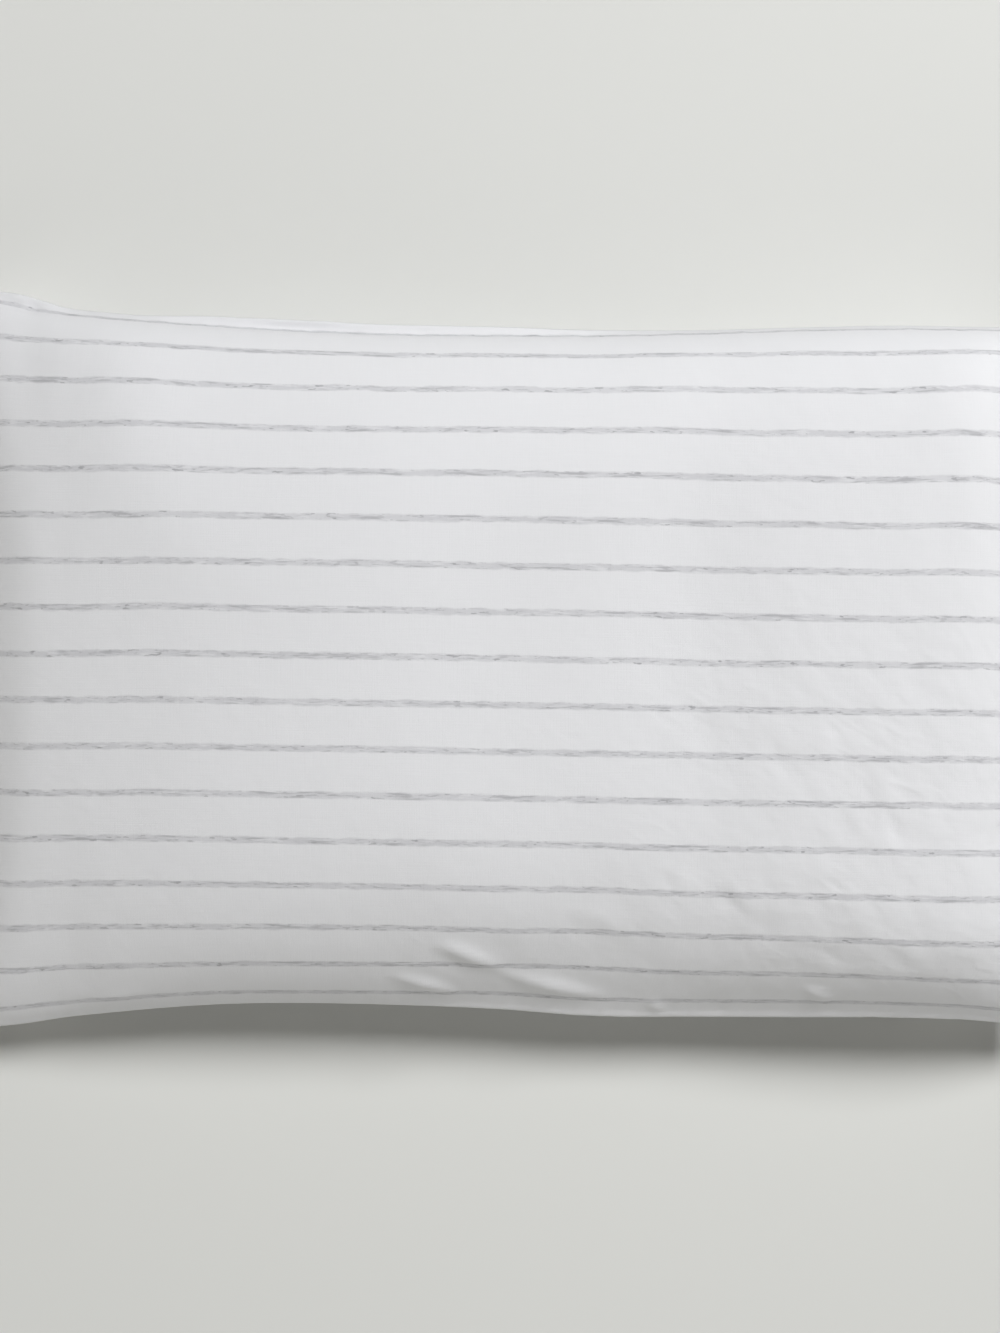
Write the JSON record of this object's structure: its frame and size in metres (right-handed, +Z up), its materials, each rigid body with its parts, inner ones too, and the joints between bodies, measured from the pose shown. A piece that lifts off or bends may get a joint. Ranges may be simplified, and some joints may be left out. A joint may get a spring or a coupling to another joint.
{
  "type": "pillowcase",
  "caption": "Striped envelope pillowcase, filled by its pillow and lying on its back: sewn on the long sides and one end, with a hemmed mouth and a tucked-in flap at the other.",
  "frame": {"origin": "middle of the underside, on the surface that the case lies on", "axes": "+X along the case towards its mouth, +Y across it, +Z up from the surface through the crown of the front panel"},
  "size_m": [0.7174, 0.4816, 0.133],
  "materials": {
    "striped_cloth": "matt woven cotton and linen, white with thin pale grey stripes along its length",
    "flap_cloth": "matt woven cotton and linen, white"
  },
  "bodies": {
    "root": {"filled_case": "striped_cloth", "tuck_flap": "flap_cloth"}
  },
  "joints": []
}
